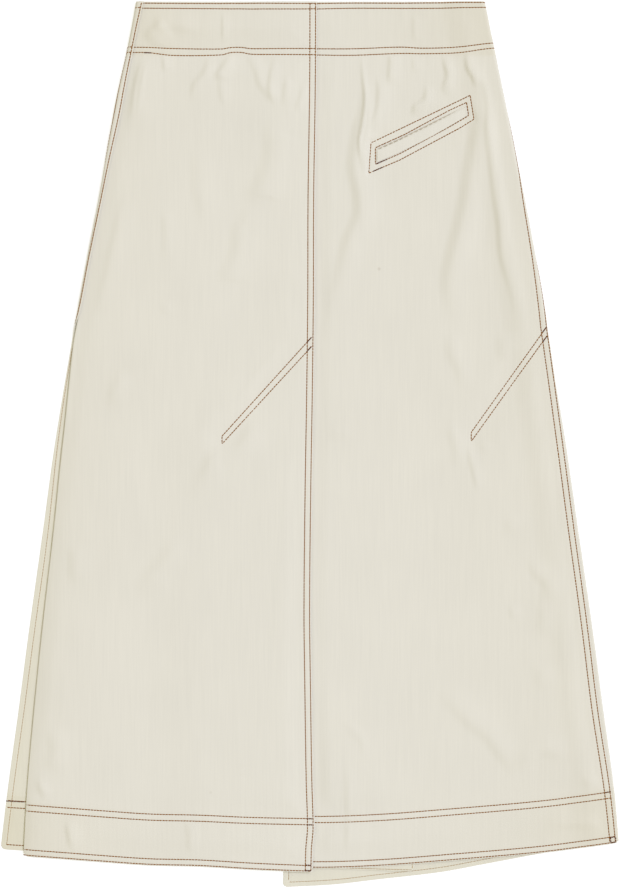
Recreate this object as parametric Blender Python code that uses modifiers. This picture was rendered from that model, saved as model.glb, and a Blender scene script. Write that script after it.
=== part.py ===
"""A four-panel wrap skirt of stiff cotton, laid flat with its back up.

All sizes are in millimetres until a mesh is made. "Across" runs to the right as the skirt lies, with
0 on its middle line, "drop" is the distance down from the waist edge, and "height" is measured up
from the surface that the skirt lies on. Panels lie on each other in plies, one wall and one gap thick.
Each panel is worked out as a flat cut, then turned round the fold that its side runs over.
"""
import math
from collections import namedtuple

import bmesh
import bpy

MM = 0.001
LENGTH = 900.0                 # waist edge to the lowest hem corner
WALL = 1.2                     # thickness of the cloth
GAP = 0.3                      # air between two plies
PLY = WALL + GAP

SEAM_UNDER = 12.0              # what a lap hides of the panel beneath it, above its vent
UNDERLAP = 92.5                # width of a vent's underlap
UNDERLAP_SLANT = 104.0         # drop over which an underlap widens along its slanted top
RETURN_TUCK = 3.0              # how much shorter a turned-back side is at the hem
FOLD_RADIUS_SEWN = 0.75        # middle of the inner cloth's wall, where a side seam is sewn
FOLD_RADIUS_OPEN = 1.5         # and where the vent lets the fold spring open
FOLD_SLACK = 0.3               # extra room that an outer lap leaves round a sewn fold
WELT_WALL = 1.0                # thickness of the pocket's welt

LEFT_VENT_DROP = 334.0         # where the side and back vents open
BACK_VENT_DROP = 340.0
RIGHT_VENT_DROP = 330.0

Side = namedtuple("Side", "drop left right")
SIDES = (                      # half widths of the whole skirt, either side of the middle line
    Side(0, 177.0, 178.0),
    Side(52, 187.5, 188.5),
    Side(100, 198.5, 198.5),
    Side(200, 217.0, 218.5),
    Side(340, 241.5, 244.0),
    Side(540, 272.0, 273.5),
    Side(640, 286.0, 288.0),
    Side(720, 296.5, 298.5),
    Side(800, 307.5, 309.5),
    Side(862, 315.0, 315.0),
)

Edge = namedtuple("Edge", "drop across")
BACK_LAP_EDGE = (              # folded edge of the back left panel, at centre back
    Edge(0, 7.0), Edge(200, 5.0), Edge(340, 3.2), Edge(500, 1.6),
    Edge(620, 1.0), Edge(740, 3.0), Edge(815, 4.8), Edge(885, 2.7),
)
FRONT_LAP_EDGE = (Edge(0, -5.0), Edge(LENGTH, -27.5))    # folded edge of the wrap, underneath
UNDERWRAP_EDGE = (Edge(0, 95.0), Edge(885, 106.5))       # and the edge of what it laps over

Lap = namedtuple("Lap", "drop left_lap right_lap fold_inset")
LAPS = (                       # how far each side lap reaches past its fold's axis, and how far
    Lap(0, 11.8, 14.0, 1.8),   # the back left panel's own fold lies inside the outline
    Lap(60, 12.0, 13.2, 1.8),
    Lap(110, 12.6, 12.0, 1.8),
    Lap(165, 11.4, 9.8, 1.8),
    Lap(200, 10.8, 7.9, 1.8),
    Lap(265, 9.4, 6.0, 1.8),
    Lap(315, 7.8, 3.3, 1.8),
    Lap(332, 4.6, 2.2, 1.8),
    Lap(350, 3.8, 1.9, 1.9),
    Lap(400, 3.8, 0.9, 5.0),
    Lap(440, 3.8, 0.0, 7.2),
    Lap(520, 3.8, -1.0, 10.0),
    Lap(600, 3.8, -1.6, 12.1),
    Lap(720, 3.8, -2.6, 15.5),
    Lap(800, 3.8, -1.4, 19.4),
    Lap(862, 3.8, -0.1, 23.4),
)

Hem = namedtuple("Hem", "across drop")
BACK_LEFT_HEM = (
    Hem(-292, 870.0), Hem(-193, 876.5), Hem(-102, 880.5), Hem(5, 884.0),
)
BACK_RIGHT_HEM = (
    Hem(-90, 879.5), Hem(8, 881.8), Hem(71, 879.7), Hem(138, 874.6),
    Hem(236, 866.0), Hem(301, 857.3), Hem(317, 854.5),
)
FRONT_RIGHT_HEM = (
    Hem(-27.5, LENGTH), Hem(25, 897.5), Hem(69, 892.4), Hem(132, 885.2),
    Hem(176, 876.6), Hem(235, 865.9), Hem(295, 857.3), Hem(315, 853.8),
)
FRONT_LEFT_HEM = (
    Hem(-315, 861.3), Hem(-291, 863.4), Hem(-190, 871.0),
    Hem(-71, 878.1), Hem(28, 882.7), Hem(106.5, 885.2),
)

Corner = namedtuple("Corner", "across drop")
WELT = (                       # the slanted pocket's welt, inside its inner row of stitches
    Corner(68.0, 149.0), Corner(158.5, 104.5), Corner(160.0, 115.0), Corner(68.0, 161.5),
)
POCKET_MIDDLE = Corner(114.0, 133.0)
POCKET_CALM = (60.0, 36.0)     # half sizes of the place round the pocket that no ridge crosses

Fold = namedtuple("Fold", "panel height width path")
FOLDS = (                      # the largest soft ridges, each along a path of (across, drop)
    Fold("right", 2.4, 12.0, ((56, 60), (62, 100), (57, 131), (50, 168), (40, 237), (16, 314))),
    Fold("right", 2.6, 14.0, ((178, 72), (176, 115), (166, 200), (148, 283), (146, 324))),
    Fold("right", 1.9, 10.0, ((193, 120), (194, 166), (199, 217), (207, 283))),
    Fold("right", 1.6, 14.0, ((234, 593), (244, 629), (224, 655))),
    Fold("right", 1.8, 16.0, ((153, 731), (188, 772), (234, 776), (268, 766))),
    Fold("left", 1.7, 18.0, ((-46, 120), (-61, 187), (-84, 256))),
    Fold("left", 1.5, 14.0, ((-92, 456), (-127, 487), (-158, 497))),
    Fold("left", 1.4, 18.0, ((-186, 560), (-160, 604))),
    Fold("left", 1.0, 12.0, ((-166, 33), (-134, 28))),
)

# Rows of points from the waist to the hem, closer together where the vents open.
ROW_BANDS = (                  # from, to, rows
    (0, 260, 7), (260, 310, 3), (310, 360, 5), (360, 460, 5), (460, 880, 10),
)
ROW_LENGTH = 880.0
BAND_STEP = 1.5                # distance between the lines of points beside a lap's edge
ARC_LINES = 5                  # lines of points round an inner fold


def smooth(value):
    """Ease a share from 0 to 1, and hold it beyond."""
    value = min(max(value, 0.0), 1.0)
    return value * value * (3 - 2 * value)


def mix(a, b, share):
    return a + (b - a) * share


def curve(rows, place, column, at):
    """Smooth curve through one column of a table, read at a value of its place column."""
    places = [getattr(row, place) for row in rows]
    values = [getattr(row, column) for row in rows]
    last = len(rows) - 1
    at = min(max(at, places[0]), places[last])
    i = next(n for n in range(last) if at <= places[n + 1])

    def slope(n):
        before, after = max(n - 1, 0), min(n + 1, last)
        return (values[after] - values[before]) / (places[after] - places[before])

    span = places[i + 1] - places[i]
    t = (at - places[i]) / span
    return ((2 * t ** 3 - 3 * t ** 2 + 1) * values[i] + (t ** 3 - 2 * t ** 2 + t) * span * slope(i)
            + (3 * t ** 2 - 2 * t ** 3) * values[i + 1] + (t ** 3 - t ** 2) * span * slope(i + 1))


def level(ply):
    """Height of the middle of a wall that lies this many plies up."""
    return WALL / 2 + ply * PLY


def outline(drop, side):
    return curve(SIDES, "drop", side, drop)


def back_lap_edge(drop):
    return curve(BACK_LAP_EDGE, "drop", "across", drop)


def front_lap_edge(drop):
    return curve(FRONT_LAP_EDGE, "drop", "across", drop)


def underwrap_edge(drop):
    return curve(UNDERWRAP_EDGE, "drop", "across", drop)


def lap(drop, column):
    return curve(LAPS, "drop", column, drop)


def underlap(drop, vent_drop):
    """How much of a panel lies hidden under a lap: a seam's width, then the vent's underlap."""
    share = min(max((drop - vent_drop) / UNDERLAP_SLANT, 0.0), 1.0)
    return mix(SEAM_UNDER, UNDERLAP, share)


def left_fold(drop):
    """Axis of the left fold, and the radii of the panel inside it and of the lap round it."""
    opened = smooth((drop - 352) / 50)
    inner = mix(FOLD_RADIUS_SEWN, FOLD_RADIUS_OPEN, opened)
    outer = inner + PLY + FOLD_SLACK * (1 - opened)
    axis = -outline(drop, "left") + lap(drop, "fold_inset") + inner + WALL / 2
    return axis, inner, outer


def right_fold(drop):
    """Axis of the right fold, and the radii of the panel inside it and of the lap round it."""
    opened = smooth((drop - 345) / 120)
    inner = mix(FOLD_RADIUS_SEWN, FOLD_RADIUS_OPEN, opened)
    slack = FOLD_SLACK * (1 - opened)
    axis = outline(drop, "right") - WALL / 2 - inner - (1 - opened) * (PLY + FOLD_SLACK)
    return axis, inner, inner + PLY + slack


def curl(drop):
    """1 where the left lap is turned right over, easing to 0 where its vent lets it lie flat."""
    return 1 - smooth((drop - 326) / 26)


def turn(past, radius, start, rise):
    """Reach past a fold's axis and height of a point this far along cloth that turns back over it."""
    angle = past / radius
    if angle < math.pi:
        return radius * math.sin(angle), start + rise * radius * (1 - math.cos(angle))
    return math.pi * radius - past, start + rise * 2 * radius


def ridge(panel, across, drop):
    """Height that the soft ridges add to a back panel."""
    total = 0.0
    for fold in FOLDS:
        if fold.panel != panel:
            continue
        nearest, along = None, 0.0
        spans = len(fold.path) - 1
        for n in range(spans):
            (x0, y0), (x1, y1) = fold.path[n], fold.path[n + 1]
            run = (x1 - x0) ** 2 + (y1 - y0) ** 2
            share = min(max(((across - x0) * (x1 - x0) + (drop - y0) * (y1 - y0)) / run, 0.0), 1.0)
            away = math.hypot(across - mix(x0, x1, share), drop - mix(y0, y1, share))
            if nearest is None or away < nearest:
                nearest, along = away, (n + share) / spans
        swell = 0.35 + 0.65 * math.sin(math.pi * along)
        total += fold.height * swell * math.exp(-(nearest / fold.width) ** 2)
    return total


def calm(across, drop, centre, half_across, half_drop):
    """1 over a pocket or other flat place, easing to 0 round it."""
    off = max(abs(across - centre[0]) / half_across, abs(drop - centre[1]) / half_drop)
    return 1 - smooth((off - 1) / 0.35)


# Each panel is a function from its flat cut (how far across, how far down) to where that point lies.

def back_left(flat, drop):
    axis, radius, _ = left_fold(drop)
    top = level(1) + 2 * radius
    if flat < axis:
        reach, height = turn(axis - flat, radius, top, -1)
        return axis - reach, height
    beside_fold = 1 - smooth((flat - axis) / 40)
    under_edge = back_lap_edge(drop) - underlap(drop, BACK_VENT_DROP)
    over_underlap = smooth((flat - under_edge + 75) / 62)
    rest = level(2) + (top - level(2)) * beside_fold + PLY * over_underlap
    return flat, rest + ridge("left", flat, drop) * smooth((flat - axis - 3) / 15)


def back_right(flat, drop):
    axis, inner, radius = right_fold(drop)
    top = level(2) + 2 * (radius - inner) - PLY
    if flat > axis:
        reach, height = turn(flat - axis, radius, top, -1)
        return axis + reach, height
    beside_fold = 1 - smooth((axis - flat - 20) / 25)
    rest = mix(level(2), top, beside_fold)
    beyond_lap = smooth((flat - back_lap_edge(drop) - 3) / 15)
    folds = ridge("right", flat, drop) * beyond_lap * smooth((axis - flat - 8) / 15)
    pocket = calm(flat, drop, POCKET_MIDDLE, *POCKET_CALM)
    return flat, rest + folds * (1 - pocket)


def front_right(flat, drop):
    axis, radius, _ = right_fold(drop)
    bottom = level(2) - 2 * radius
    if flat > axis:
        past = flat - axis
        reach, height = turn(past, radius, bottom, 1)
        beyond_arc = past - math.pi * radius
        return axis + reach, height - PLY * smooth((beyond_arc - 5) / 15)
    beside_fold = smooth((flat - axis + 22) / 12)
    return flat, level(0) + (bottom - level(0)) * beside_fold


def front_left(flat, drop):
    axis, _, radius = left_fold(drop)
    if flat < axis:
        past = axis - flat
        reach, height = turn(past, radius, level(0), 1)
        return axis - mix(past, reach, curl(drop)), mix(level(0), height, curl(drop))
    over_wrap = smooth((flat - front_lap_edge(drop) + 13) / 9)
    return flat, level(0) + PLY * over_wrap


# The lengthwise lines that each panel's columns of points run between, in its flat cut.

def back_left_lines(drop):
    axis, radius, _ = left_fold(drop)
    edge = back_lap_edge(drop)
    hidden = underlap(drop, LEFT_VENT_DROP) - SEAM_UNDER + 2.0
    arc = [axis - math.pi * radius * n / (ARC_LINES - 1) for n in range(ARC_LINES)]
    returned = [arc[-1] - hidden * share for share in (0.06, 0.22, 0.6, 1.0)]
    flat = [mix(edge, axis + 40, n / 10) for n in range(11)]
    return flat + [axis + 26, axis + 12] + arc + returned


def back_right_lines(drop):
    axis = right_fold(drop)[0]
    edge = axis + lap(drop, "right_lap")
    lap_edge = back_lap_edge(drop)
    under = [lap_edge - underlap(drop, BACK_VENT_DROP) * share for share in (1.0, 0.5, 0.1)]
    middle = [mix(lap_edge + 6, axis - 45, n / 11) for n in range(12)]
    band = [edge - BAND_STEP * n for n in range(11, -1, -1)]
    return under + middle + [axis - 32, axis - 20] + band


def front_right_lines(drop):
    axis, radius, _ = right_fold(drop)
    hidden = underlap(drop, RIGHT_VENT_DROP) - SEAM_UNDER + 4.0
    flat = [mix(front_lap_edge(drop), axis - 22, n / 7) for n in range(8)]
    arc = [axis + math.pi * radius * n / (ARC_LINES - 1) for n in range(ARC_LINES)]
    returned = [arc[-1] + hidden * share for share in (0.06, 0.14, 0.22, 0.6, 1.0)]
    return flat + [axis - 16, axis - 10] + arc + returned


def front_left_lines(drop):
    axis, inner, _ = left_fold(drop)
    lying = lap(drop, "fold_inset") + inner + WALL / 2
    edge = axis - mix(lying, lap(drop, "left_lap"), curl(drop))
    wrap = front_lap_edge(drop)
    over = [mix(underwrap_edge(drop), wrap - 4, n / 4) for n in range(5)]
    band = [edge + BAND_STEP * n for n in range(9, -1, -1)]
    flat = [mix(wrap - 13, band[0] + 10, n / 6) for n in range(7)]
    return over + [wrap - 8.5] + flat + band


def row_shares():
    """Shares of the length at which the rows of points lie."""
    drops = [0.0]
    for start, end, rows in ROW_BANDS:
        drops += [mix(start, end, (n + 1) / rows) for n in range(rows)]
    return [drop / ROW_LENGTH for drop in drops]


def panel_points(panel):
    """Rows of points of a panel, each row bent so that the last one follows the hem."""
    rows = []
    for share in row_shares():
        row = []
        for n in range(len(panel.lines(0.0))):
            drop = share * ROW_LENGTH
            for _ in range(3):
                flat = panel.lines(drop)[n]
                across, height = panel.shape(flat, drop)
                turned = abs(flat) - abs(panel.fold(drop)[0])
                tuck = panel.tuck * smooth((turned - 5) / 12)
                drop = share * (curve(panel.hem, "across", "drop", across) - tuck)
            row.append((across, drop, height))
        rows.append(row)
    return rows


def material(name, colour, roughness):
    shade = bpy.data.materials.new(name)
    shade.use_nodes = True
    principled = shade.node_tree.nodes["Principled BSDF"]
    principled.inputs["Base Color"].default_value = (*colour, 1.0)
    principled.inputs["Roughness"].default_value = roughness
    principled.inputs["Metallic"].default_value = 0.0
    return shade


def sheet(name, rows, wall, shade, collection):
    """A wall of cloth whose middle runs through rows of (across, drop, height) points."""
    shell = bmesh.new()
    bmesh.ops.create_grid(shell, x_segments=len(rows[0]) - 1, y_segments=len(rows) - 1, size=0.5)
    points = [point for row in rows for point in row]
    shell.verts.ensure_lookup_table()
    for vertex, (across, drop, height) in zip(shell.verts, points):
        vertex.co = (across * MM, (LENGTH / 2 - drop) * MM, height * MM)
    mesh = bpy.data.meshes.new(name)
    shell.to_mesh(mesh)
    shell.free()
    mesh.shade_smooth()
    piece = bpy.data.objects.new(name, mesh)
    collection.objects.link(piece)
    piece.data.materials.append(shade)
    solidify = piece.modifiers.new("wall", "SOLIDIFY")
    solidify.thickness = wall * MM
    solidify.offset = 0.0
    solidify.use_even_offset = True
    return piece


def welt_points():
    """Rows of points of the pocket's welt: the back right panel's own points, moved out."""
    out = WALL / 2 + GAP + WELT_WALL / 2
    columns, lines = 8, 2
    rows = []
    for i in range(lines + 1):
        row = []
        for j in range(columns + 1):
            top = [mix(WELT[0][k], WELT[1][k], j / columns) for k in (0, 1)]
            bottom = [mix(WELT[3][k], WELT[2][k], j / columns) for k in (0, 1)]
            flat, drop = (mix(top[k], bottom[k], i / lines) for k in (0, 1))
            across, height = back_right(flat, drop)
            row.append((across, drop, height + out))
        rows.append(row)
    return rows


for old in list(bpy.data.objects):
    bpy.data.objects.remove(old, do_unlink=True)

skirt = bpy.data.collections.new("wrap_skirt")
bpy.context.scene.collection.children.link(skirt)

Panel = namedtuple("Panel", "name shape lines hem fold tuck colour")
PANELS = (
    Panel("back_left_panel", back_left, back_left_lines, BACK_LEFT_HEM,
          left_fold, RETURN_TUCK, (0.76, 0.74, 0.63)),
    Panel("back_right_panel", back_right, back_right_lines, BACK_RIGHT_HEM,
          right_fold, 0.0, (0.75, 0.73, 0.62)),
    Panel("front_right_panel", front_right, front_right_lines, FRONT_RIGHT_HEM,
          right_fold, RETURN_TUCK, (0.72, 0.70, 0.58)),
    Panel("front_left_panel", front_left, front_left_lines, FRONT_LEFT_HEM,
          left_fold, 0.0, (0.71, 0.69, 0.57)),
)
for panel in PANELS:
    cloth = material(panel.name + "_cloth", panel.colour, 0.9)
    sheet(panel.name, panel_points(panel), WALL, cloth, skirt)

sheet("pocket_welt", welt_points(), WELT_WALL, material("welt_cloth", (0.77, 0.75, 0.64), 0.9), skirt)
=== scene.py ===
import math
from collections import namedtuple

import bpy
import numpy as np
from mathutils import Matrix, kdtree


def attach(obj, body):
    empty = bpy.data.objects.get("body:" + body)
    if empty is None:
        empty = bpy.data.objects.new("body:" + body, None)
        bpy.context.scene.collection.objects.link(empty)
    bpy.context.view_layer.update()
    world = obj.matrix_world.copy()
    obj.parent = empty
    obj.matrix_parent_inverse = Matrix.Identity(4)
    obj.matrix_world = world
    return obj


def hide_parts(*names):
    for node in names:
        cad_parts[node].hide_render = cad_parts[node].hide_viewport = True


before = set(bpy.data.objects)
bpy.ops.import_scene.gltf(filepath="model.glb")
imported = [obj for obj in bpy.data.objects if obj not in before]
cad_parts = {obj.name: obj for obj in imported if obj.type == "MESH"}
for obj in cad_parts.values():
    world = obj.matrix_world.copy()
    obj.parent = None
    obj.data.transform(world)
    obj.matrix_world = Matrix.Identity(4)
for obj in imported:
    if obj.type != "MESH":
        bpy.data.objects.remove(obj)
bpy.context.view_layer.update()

# A four-panel wrap skirt of stiff undyed cotton, laid flat with its back up. Sizes are in millimetres
# until a mesh is made: "across" runs to the right from the middle line, "drop" down from the waist
# edge, "height" up from the floor, and "flat" is how far across the panel's own cut a point lies.


# ---- Front left panel -------------------------------------
# The under half of the wrap front, one flared cut of cotton twill, right side down on the floor and
# on the front right panel. Its side edge is turned over to the near side and sewn on the back left
# panel as far as the vent, and below that it lies flat and shows its wrong side.

MM = 0.001
LENGTH = 900.0  # waist edge to the lowest hem corner
WALL = 1.2  # what one ply takes up in the stack of panels
PLY = 1.5  # that and the air to the next ply
CLOTH = 1.0  # thickness of the cloth itself

SEAM_UNDER = 12.0  # what a lap hides of the panel beneath it, above its vent
UNDERLAP = 92.5  # width of a vent's underlap
UNDERLAP_SLANT = 104.0  # drop over which an underlap widens along its slanted top
LEFT_VENT_DROP = 334.0
FOLD_RADIUS_SEWN = 0.75  # middle of the inner cloth's wall, where a side seam is sewn
FOLD_RADIUS_OPEN = 0.8  # and where the vent lets the fold spring open
FOLD_SLACK = 0.3  # extra room that an outer lap leaves round a sewn fold

Ramp = namedtuple("Ramp", "start over")  # where something fades in, and over how far
LEFT_FOLD_OPENS = Ramp(352, 50)  # drops
LEFT_LAP_FLATTENS = Ramp(326, 26)
OVER_WRAP = Ramp(-13, 9)  # across, from the front right panel's edge


def table(columns, *rows):
    """Rows of measured numbers, each column with a name."""
    kind = namedtuple("Measured", columns)
    return [kind(*row) for row in rows]


SIDES = table(  # half widths of the whole skirt, either side of the middle line
    "drop left right",
    (0, 177, 178), (52, 186.7, 188.5), (100, 197.5, 198.5), (200, 215.3, 218.5), (265, 227.8, 230.8),
    (340, 241.5, 244), (455, 260.4, 261.3), (540, 272, 273.5), (640, 286, 288), (720, 296.5, 298.5),
    (800, 307.5, 309.5), (862, 315, 315),
)

# How far each side lap reaches past its fold's axis, and how far the back left panel's own fold lies
# inside the outline.
LAPS = table(
    "drop left_lap right_lap fold_inset",
    (0, 12.9, 14, 1.8), (30, 11.7, 13.6, 1.8), (60, 11.6, 13.2, 1.8), (110, 13, 12, 1.8),
    (165, 10.7, 9.8, 1.8), (200, 9.8, 7.9, 1.8), (265, 8.9, 6, 1.8), (315, 8.4, 3.3, 1.8),
    (332, 5.2, 2.2, 1.8), (350, 3.8, 1.9, 1.9), (400, 3.8, 0.9, 5), (440, 3.8, 0, 7.2),
    (520, 3.8, -1, 10), (600, 3.8, -1.6, 12.1), (720, 3.8, -2.6, 15.5), (800, 3.8, -1.4, 19.4),
    (862, 3.8, -0.1, 23.4),
)

FRONT_LEFT_HEM = table(
    "across drop",
    (-315, 862.6), (-291, 864.2), (-190, 871), (-71, 878.1), (28, 882.7), (106.5, 885.2),
)
HEM_ROWS = (1.4, 7.0, 46.3, 52.5)  # rows of stitches, measured up from the hem
HEM_ABOUT = LENGTH - 30  # drop where such rows look up how far across they run
LEFT_LAP_ROWS = (1.9, 7.1)  # rows down the left lap, in from its edge
WRONG_SIDE_ROW = 5.6  # the facing's one row, in from an edge on the wrong side
ROW_TOP = 1.5  # rows down a panel start this far below the waist edge
ROW_STOPS = 1.9  # and rows across stop this far short of its edge

WAIST_ROWS = table(  # drops of the four rows round the waist facing
    "across first second third fourth",
    (-190, 1.7, 6.4, 46.5, 52), (-165, 1.7, 6.8, 46.7, 52), (-140, 1.9, 7, 47.8, 54.8),
    (-90, 2.1, 7.4, 48.3, 54.3), (-81, 2, 7.5, 46.9, 52), (-70, 2, 7.5, 46.7, 51.8),
    (-61, 1.9, 7.7, 47.9, 53.5), (-52, 1.9, 7.7, 48.1, 53.9), (-6, 2.2, 7.8, 48, 54.2),
    (43, 1.6, 6.9, 48.1, 54.7), (92, 1.7, 7, 46.4, 52.8), (116, 1.5, 7, 47.5, 53.1),
    (153, 1.3, 6.6, 46.2, 52), (177, 1.3, 6.3, 43.4, 48.7), (190, 1.3, 6.2, 42, 47.3),
)


def mix(a, b, share):
    return a + (b - a) * share


def smooth(value):
    """Ease a share from 0 to 1, and hold it beyond."""
    value = np.clip(value, 0.0, 1.0)
    return value * value * (3 - 2 * value)


def ease(value, ramp):
    """Share that fades in from 0 to 1 over a ramp."""
    return smooth((value - ramp.start) / ramp.over)


def through(places, values, at):
    """Smooth curve through these values, read at any place."""
    places, values = np.array(places, float), np.array(values, float)
    slopes = np.empty_like(values)
    slopes[1:-1] = (values[2:] - values[:-2]) / (places[2:] - places[:-2])
    slopes[0] = (values[1] - values[0]) / (places[1] - places[0])
    slopes[-1] = (values[-1] - values[-2]) / (places[-1] - places[-2])
    at = np.clip(at, places[0], places[-1])
    n = np.clip(np.searchsorted(places, at) - 1, 0, len(places) - 2)
    span = places[n + 1] - places[n]
    t = (at - places[n]) / span
    return ((2 * t ** 3 - 3 * t ** 2 + 1) * values[n] + (t ** 3 - 2 * t ** 2 + t) * span * slopes[n]
            + (3 * t ** 2 - 2 * t ** 3) * values[n + 1] + (t ** 3 - t ** 2) * span * slopes[n + 1])


def curve(rows, column, at):
    """One column of a table, read between its rows at any place in the first column."""
    return through([row[0] for row in rows], [getattr(row, column) for row in rows], at)


def level(ply):
    """Height of the middle of a wall that lies this many plies up."""
    return WALL / 2 + ply * PLY


def follow(rows):
    """The line that runs down a panel at the places in this table."""
    return lambda drop: curve(rows, "across", drop)


front_lap_edge = follow(table("drop across", (0, -5), (LENGTH, -27.5)))  # folded edge of the wrap
underwrap_edge = follow(table("drop across", (0, 95), (885, 106.5)))  # and of what it laps over


def underlap(drop, vent_drop):
    """How much of a panel lies hidden under a lap: a seam's width, then the vent's underlap."""
    return mix(SEAM_UNDER, UNDERLAP, np.clip((drop - vent_drop) / UNDERLAP_SLANT, 0.0, 1.0))


def left_fold(drop):
    """Axis of the left fold, and the radii of the panel inside it and of the lap round it."""
    opened = ease(drop, LEFT_FOLD_OPENS)
    inner = mix(FOLD_RADIUS_SEWN, FOLD_RADIUS_OPEN, opened)
    inset = curve(LAPS, "fold_inset", drop)
    axis = inset + inner + WALL / 2 - curve(SIDES, "left", drop)
    return axis, inner, inner + PLY + FOLD_SLACK * (1 - opened)


def left_axis(drop):
    return left_fold(drop)[0]


def curl(drop):
    """1 where the left lap is turned right over, easing to 0 where its vent lets it lie flat."""
    return 1 - ease(drop, LEFT_LAP_FLATTENS)


def turn(past, radius, start, rise):
    """Reach past a fold's axis and height of a point this far along cloth that turns back over it."""
    angle = np.clip(past / radius, 0.0, math.pi)
    beyond = np.maximum(past - math.pi * radius, 0.0)
    return radius * np.sin(angle) - beyond, start + rise * radius * (1 - np.cos(angle))


def front_left_lie(flat, drop):
    axis, _, radius = left_fold(drop)
    past = np.maximum(axis - flat, 0.0)
    reach, height = turn(past, radius, level(0), 1)
    turned = mix(level(0), height, curl(drop))
    over_wrap = ease(flat - front_lap_edge(drop), OVER_WRAP)
    return (np.where(flat < axis, axis - mix(past, reach, curl(drop)), flat),
            np.where(flat < axis, turned, level(0) + PLY * over_wrap))


def front_left_edge(drop):
    axis, inner, _ = left_fold(drop)
    lying = curve(LAPS, "fold_inset", drop) + inner + WALL / 2
    return axis - mix(lying, curve(LAPS, "left_lap", drop), curl(drop))


# Stitched rows press into the cloth, so each panel knows its own before it is shaped.

Row = namedtuple("Row", "face path bobbin", defaults=(False,))  # face 1 is up as the panel lies flat
ROW_STEP = 0.5


def down(at, start, end):
    """Row that runs down a panel, from where it lies across the cut at each drop."""
    drop = np.arange(start, end, ROW_STEP)
    return np.stack((at(drop), drop), -1)


def over(at, start, end):
    """Row that runs across a panel, from its drop at each place."""
    flat = np.arange(start, end, ROW_STEP)
    return np.stack((flat, at(flat)), -1)


def off(edge, offset):
    """The line that keeps this far to the right of an edge."""
    return lambda drop: edge(drop) + offset


def straight(*corners):
    """Row of straight runs from corner to corner."""
    runs = []
    for (x0, y0), (x1, y1) in zip(corners, corners[1:]):
        share = np.arange(0, 1, ROW_STEP / math.hypot(x1 - x0, y1 - y0))
        runs.append(np.stack((mix(x0, x1, share), mix(y0, y1, share)), -1))
    return np.concatenate(runs)


def waist_rows(face, start, end, columns=("first", "second", "third", "fourth")):
    """Rows across the waist, between two edges given at any drop."""
    rows = []
    for column in columns:
        drop = curve(WAIST_ROWS, column, 0.0)
        line = over(lambda x: curve(WAIST_ROWS, column, x), start(drop), end(drop))
        rows.append(Row(face, line))
    return rows


def hem_rows(face, hem, start, end, insets=HEM_ROWS, bobbin=False):
    """Rows along a hem, at these distances above it, between two edges given at any drop."""
    rows = []
    for inset in insets:
        drop = HEM_ABOUT - inset
        line = over(lambda x: curve(hem, "drop", x) - inset, start(drop), end(drop))
        rows.append(Row(face, line, bobbin))
    return rows


def vent_rows(face, top, low, low_width, top_width=9.5):
    """Double row slanting from a vent's top, closed by a short row at its low end."""
    (x0, y0), (x1, y1) = top, low
    return [Row(face, straight((x0, y0 + top_width), (x1, y1 + low_width), (x1, y1), (x0, y0)))]


def beside(tree, flat, drop):
    """Distance from each point to the nearest stitched row."""
    spots = zip(flat.ravel().tolist(), drop.ravel().tolist())
    return np.array([tree.find((x, y, 0.0))[2] for x, y in spots]).reshape(flat.shape)


def sewn(rows):
    """Every point along these rows, to be searched for the nearest."""
    path = np.concatenate([row.path for row in rows]).tolist()
    tree = kdtree.KDTree(len(path))
    for n, (x, y) in enumerate(path):
        tree.insert((x, y, 0.0), n)
    tree.balance()
    return tree


LATTICE = 64  # random values each way before the unevenness repeats
LATTICE_START = (32.37, 0.41)  # where the middle of the waist lies in it


def wander(seed, size, flat, drop):
    """Random unevenness from -1 to 1, with bumps this far apart across and down."""
    lattice = np.random.default_rng(seed).uniform(-1.0, 1.0, (LATTICE, LATTICE))
    u, v = flat / size[0] + LATTICE_START[0], drop / size[1] + LATTICE_START[1]
    i, j = np.floor(u).astype(int), np.floor(v).astype(int)
    s, t = smooth(u - i), smooth(v - j)
    left, top, right, low = i % LATTICE, j % LATTICE, (i + 1) % LATTICE, (j + 1) % LATTICE
    return mix(mix(lattice[left, top], lattice[right, top], s),
               mix(lattice[left, low], lattice[right, low], s), t)


# A crease follows its dark line: the cloth steps up over the flank on one side of the line and
# sinks back over the tail. That side is the right of a line written from top to bottom, and the
# upper side of one written from left to right.

Crease = namedtuple("Crease", "height flank tail path")
CREASE_STEPS = 5  # straight runs that its line is drawn with between two given points
CREASE_END = 0.1  # what is left of its height at its ends
CREASE_SWELLS = 2.6  # and how fast it swells from there


def creases(*rows):
    """Table of creases, each given as its height, flank and tail and the points of its line."""
    return [Crease(height, flank, tail, line) for height, flank, tail, *line in rows]


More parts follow.
